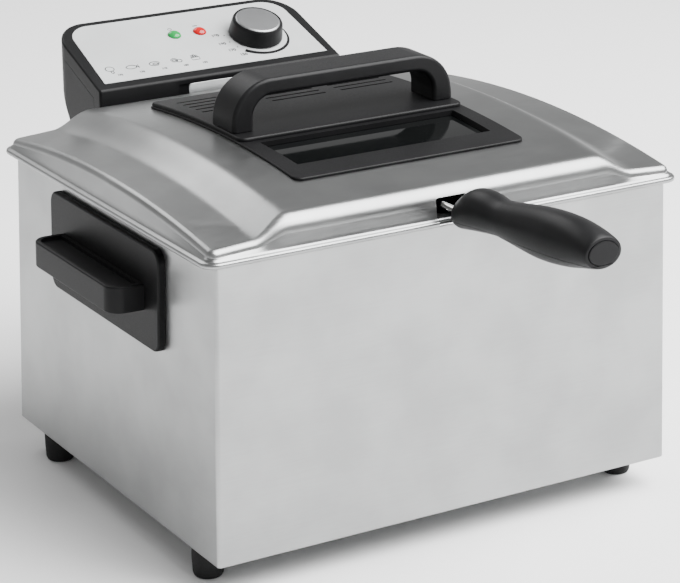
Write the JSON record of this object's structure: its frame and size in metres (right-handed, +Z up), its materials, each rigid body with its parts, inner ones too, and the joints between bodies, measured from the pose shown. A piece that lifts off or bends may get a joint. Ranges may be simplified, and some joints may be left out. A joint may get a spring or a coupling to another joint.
{
  "type": "deep fryer",
  "caption": "Countertop deep fryer: steel housing on rubber feet, lift-out tank, long-handled wire basket, domed lid with window and filter cover, lift-off control unit with element.",
  "frame": {"origin": "on the surface the feet stand on, under the middle of the whole fryer's outline, basket handle and control unit included", "axes": "+X to the right, -Y towards the basket handle's end (the front), +Z up"},
  "size_m": [0.4124, 0.5666, 0.301],
  "materials": {
    "stainless": "brushed",
    "thin_steel": "satin",
    "bright_wire": "polished",
    "screw_steel": "satin",
    "black_plastic": "fine texture",
    "button_plastic": "satin",
    "rubber": "matte",
    "silver_panel": "satin, printed",
    "cap_metal": "satin",
    "dark_glass": "gloss",
    "green_lens": "gloss",
    "red_lens": "gloss",
    "inner_plastic": "moulded",
    "filter_fibre": "open fibre"
  },
  "bodies": {
    "housing": {"housing_shell": "stainless", "base_plate": "thin_steel", "foot_front_left": "rubber", "foot_front_right": "rubber", "foot_rear_left": "rubber", "foot_rear_right": "rubber", "foot_screw_front_left": "screw_steel", "foot_screw_front_right": "screw_steel", "foot_screw_rear_left": "screw_steel", "foot_screw_rear_right": "screw_steel", "side_handle_plate_left": "black_plastic", "side_handle_plate_right": "black_plastic", "side_handle_grip_left": "black_plastic", "side_handle_grip_right": "black_plastic", "side_handle_screw_left_front": "screw_steel", "side_handle_screw_left_rear": "screw_steel", "side_handle_screw_right_front": "screw_steel", "side_handle_screw_right_rear": "screw_steel", "control_rail_left": "black_plastic", "control_rail_right": "black_plastic"},
    "tank": {"oil_tank": "stainless"},
    "control_unit": {"control_bezel": "black_plastic", "control_casing": "black_plastic", "fascia_panel": "silver_panel", "lens_green": "green_lens", "lens_red": "red_lens", "lamp_board": "inner_plastic", "thermostat_body": "inner_plastic", "thermostat_bulb": "bright_wire", "capillary_tube": "bright_wire", "thermal_cutout": "inner_plastic", "terminal_block": "inner_plastic", "interlock_switch": "inner_plastic", "heating_element": "thin_steel", "element_head": "thin_steel", "cord_gland": "rubber", "casing_screw_left": "screw_steel", "casing_screw_right": "screw_steel"},
    "knob": {"knob": "black_plastic", "knob_cap": "cap_metal", "thermostat_shaft": "screw_steel"},
    "reset_button": {"reset_button": "button_plastic"},
    "interlock_plunger": {"interlock_plunger": "button_plastic"},
    "basket": {"basket_mesh": "bright_wire", "basket_rim_wire": "bright_wire", "basket_handle_bracket": "thin_steel", "basket_handle_wire": "bright_wire", "grip_upper": "black_plastic", "grip_lower": "black_plastic", "grip_end_cap": "black_plastic"},
    "lid": {"lid_shell": "stainless", "lid_rear_tab": "stainless", "lid_insert_frame": "black_plastic", "window_glass": "dark_glass", "window_gasket": "rubber", "filter_cover": "black_plastic", "filter_pad": "filter_fibre", "lid_handle": "black_plastic", "lid_handle_screw_left": "screw_steel", "lid_handle_screw_right": "screw_steel"}
  },
  "joints": [
    {"name": "tank_lift", "type": "slide", "parent": "housing", "child": "tank", "axis": [0, 0, 1], "range_m": [0, 0.17]},
    {"name": "control_lift", "type": "slide", "parent": "tank", "child": "control_unit", "axis": [0, 0, 1], "range_m": [0, 0.16]},
    {"name": "basket_lift", "type": "slide", "parent": "control_unit", "child": "basket", "axis": [0, 0, 1], "range_m": [0, 0.16]},
    {"name": "lid_lift", "type": "slide", "parent": "basket", "child": "lid", "axis": [0, 0, 1], "range_m": [0, 0.2]},
    {"name": "knob_turn", "type": "hinge", "parent": "control_unit", "child": "knob", "pos_m": [0.0495, 0.23646, 0.27097], "axis": [0, -0.3256, 0.9455], "range_deg": [-270, 0]},
    {"name": "reset_press", "type": "slide", "parent": "control_unit", "child": "reset_button", "axis": [0, -1, 0], "range_m": [0, 0.002], "stiffness_N_per_m": 400, "springref_m": -0.001},
    {"name": "interlock_press", "type": "slide", "parent": "control_unit", "child": "interlock_plunger", "axis": [0, 1, 0], "range_m": [0, 0.0015], "stiffness_N_per_m": 400, "springref_m": -0.001}
  ]
}
